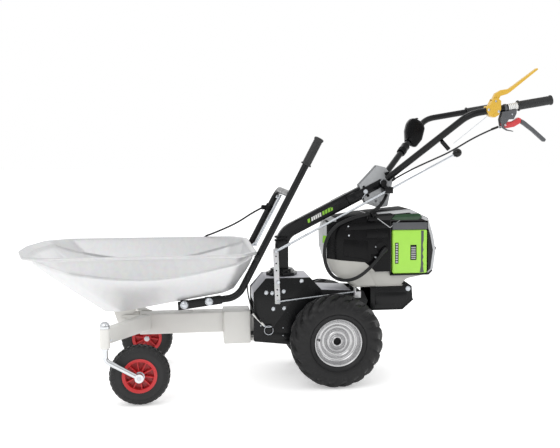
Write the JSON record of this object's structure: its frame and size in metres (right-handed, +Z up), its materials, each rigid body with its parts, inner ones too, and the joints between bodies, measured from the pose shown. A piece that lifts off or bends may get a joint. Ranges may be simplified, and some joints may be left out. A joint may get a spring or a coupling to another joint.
{
  "type": "power wheelbarrow",
  "caption": "Battery-driven walk-behind barrow: tipping pressed-steel tray on swivel casters, lugged drive wheels, power head and adjustable handlebar.",
  "frame": {"origin": "on the ground, under the middle of the whole machine", "axes": "+X towards the handlebar, +Z up, the operator's left side is -Y"},
  "size_m": [1.922, 0.735, 1.1694],
  "materials": {
    "galvanised_sheet": "satin galvanised sheet",
    "cream_paint": "satin cream paint on steel",
    "black_paint": "satin black powder coat on steel",
    "zinc_plate": "bright zinc plating",
    "chrome": "bright plated bar",
    "red_plastic": "moulded, semi-gloss",
    "tyre_rubber": "matt tread rubber",
    "silver_paint": "silver enamel on pressed steel",
    "cast_case": "painted casting",
    "deck_sheet": "light grey coat",
    "black_plastic": "moulded, fine texture",
    "grey_plastic": "moulded, light warm grey",
    "motor_steel": "stator and case",
    "battery_green": "moulded, semi-gloss lime green",
    "battery_grey": "moulded dark grey",
    "grip_rubber": "matt ribbed rubber",
    "sector_steel": "light grey coat",
    "dark_grey_metal": "textured dark grey",
    "red_metal": "red enamel",
    "yellow_paint": "yellow enamel",
    "cable_jacket": "smooth black jacket",
    "gloss_black": "polished ball"
  },
  "bodies": {
    "chassis": {"carrier_beam": "cream_paint", "cross_pins": "black_paint", "hitch_box": "cream_paint", "gearbox_housing": "cast_case", "deck_cover": "deck_sheet", "motor_bracket": "black_paint", "chassis_bolts": "zinc_plate", "column_base": "black_paint", "column_tube": "black_paint", "pivot_bolts": "zinc_plate", "rod_guides": "dark_grey_metal", "motor_front_shell": "grey_plastic", "motor_shroud": "grey_plastic", "motor_housing": "black_plastic", "battery_bay": "black_plastic", "motor_top_cover": "black_plastic", "electric_motor": "motor_steel", "control_cable": "cable_jacket", "lock_cable": "cable_jacket", "front_arm_left": "cream_paint", "front_arm_right": "cream_paint", "side_plate_left": "black_paint", "side_plate_right": "black_paint"},
    "tray": {"tub": "galvanised_sheet", "tray_bracket": "cream_paint", "lever_tube": "black_paint", "lever_hoop": "black_paint", "lever_grip": "grip_rubber", "tray_stays": "zinc_plate", "tray_bolts": "zinc_plate"},
    "handlebar": {"sector_plate": "sector_steel", "handle_tube_left": "black_paint", "handle_tube_right": "black_paint", "handle_grip_left": "grip_rubber", "handle_grip_right": "grip_rubber", "control_box": "black_plastic", "clutch_bracket": "dark_grey_metal", "safety_bracket": "yellow_paint", "clutch_cable": "cable_jacket"},
    "clutch_lever": {"clutch_hub": "red_metal", "clutch_blade": "dark_grey_metal"},
    "safety_lever": {"safety_lever": "yellow_paint"},
    "shift_crank": {"shift_crank": "zinc_plate"},
    "shift_rod": {"shift_rod": "zinc_plate", "shift_knob": "gloss_black"},
    "selector_rod": {"selector_rod": "zinc_plate"},
    "battery": {"battery_case": "battery_green", "battery_cap": "battery_grey"},
    "caster_left": {"caster_fork_left": "chrome"},
    "caster_wheel_left": {"caster_rim_left": "red_plastic", "caster_tyre_left": "tyre_rubber"},
    "drive_wheel_left": {"drive_rim_left": "silver_paint", "drive_tyre_left": "tyre_rubber", "drive_axle_left": "zinc_plate"},
    "caster_right": {"caster_fork_right": "chrome"},
    "caster_wheel_right": {"caster_rim_right": "red_plastic", "caster_tyre_right": "tyre_rubber"},
    "drive_wheel_right": {"drive_rim_right": "silver_paint", "drive_tyre_right": "tyre_rubber", "drive_axle_right": "zinc_plate"}
  },
  "joints": [
    {"name": "tray_tilt", "type": "hinge", "parent": "chassis", "child": "tray", "pos_m": [-0.597, 0, 0.242], "axis": [0, -1, 0], "range_deg": [0, 54]},
    {"name": "handle_height", "type": "hinge", "parent": "chassis", "child": "handlebar", "pos_m": [0.39, 0, 0.748], "axis": [0, 1, 0], "range_deg": [-12, 12]},
    {"name": "clutch_squeeze", "type": "hinge", "parent": "handlebar", "child": "clutch_lever", "pos_m": [0.775, -0.29, 0.964], "axis": [0, -1, 0], "range_deg": [0, 18], "stiffness_Nm_per_rad": 3, "springref_deg": -11.46},
    {"name": "safety_press", "type": "hinge", "parent": "handlebar", "child": "safety_lever", "pos_m": [0.738, -0.29, 1.049], "axis": [0, 1, 0], "range_deg": [0, 24], "stiffness_Nm_per_rad": 4, "springref_deg": -17.19},
    {"name": "shift_rock", "type": "hinge", "parent": "chassis", "child": "shift_crank", "pos_m": [-0.027, -0.099, 0.38], "axis": [0, 1, 0], "range_deg": [-7, 7]},
    {"name": "shift_rod_swing", "type": "hinge", "parent": "shift_crank", "child": "shift_rod", "pos_m": [-0.036, -0.099, 0.497], "axis": [0, 1, 0], "range_deg": [-8, 8]},
    {"name": "selector_swing", "type": "hinge", "parent": "shift_crank", "child": "selector_rod", "pos_m": [-0.029, -0.099, 0.308], "axis": [0, 1, 0], "range_deg": [-7, 7]},
    {"name": "battery_slide", "type": "slide", "parent": "chassis", "child": "battery", "axis": [0, -1, 0], "range_m": [0, 0.12]},
    {"name": "caster_swivel_left", "type": "hinge", "parent": "chassis", "child": "caster_left", "pos_m": [-0.639, -0.35, 0.244], "axis": [0, 0, 1], "continuous": true},
    {"name": "caster_spin_left", "type": "hinge", "parent": "caster_left", "child": "caster_wheel_left", "pos_m": [-0.528, -0.299, 0.104], "axis": [0, 1, 0], "continuous": true},
    {"name": "drive_spin_left", "type": "hinge", "parent": "chassis", "child": "drive_wheel_left", "pos_m": [0.179, -0.185, 0.172], "axis": [0, 1, 0], "continuous": true},
    {"name": "caster_swivel_right", "type": "hinge", "parent": "chassis", "child": "caster_right", "pos_m": [-0.639, 0.35, 0.244], "axis": [0, 0, 1], "continuous": true},
    {"name": "caster_spin_right", "type": "hinge", "parent": "caster_right", "child": "caster_wheel_right", "pos_m": [-0.528, 0.299, 0.104], "axis": [0, 1, 0], "continuous": true},
    {"name": "drive_spin_right", "type": "hinge", "parent": "chassis", "child": "drive_wheel_right", "pos_m": [0.179, 0.185, 0.172], "axis": [0, 1, 0], "continuous": true}
  ],
  "couplings": [
    {"joint": "shift_rod_swing", "follows": "shift_rock", "ratio": -1.094},
    {"joint": "selector_swing", "follows": "shift_rock", "ratio": -0.969}
  ]
}
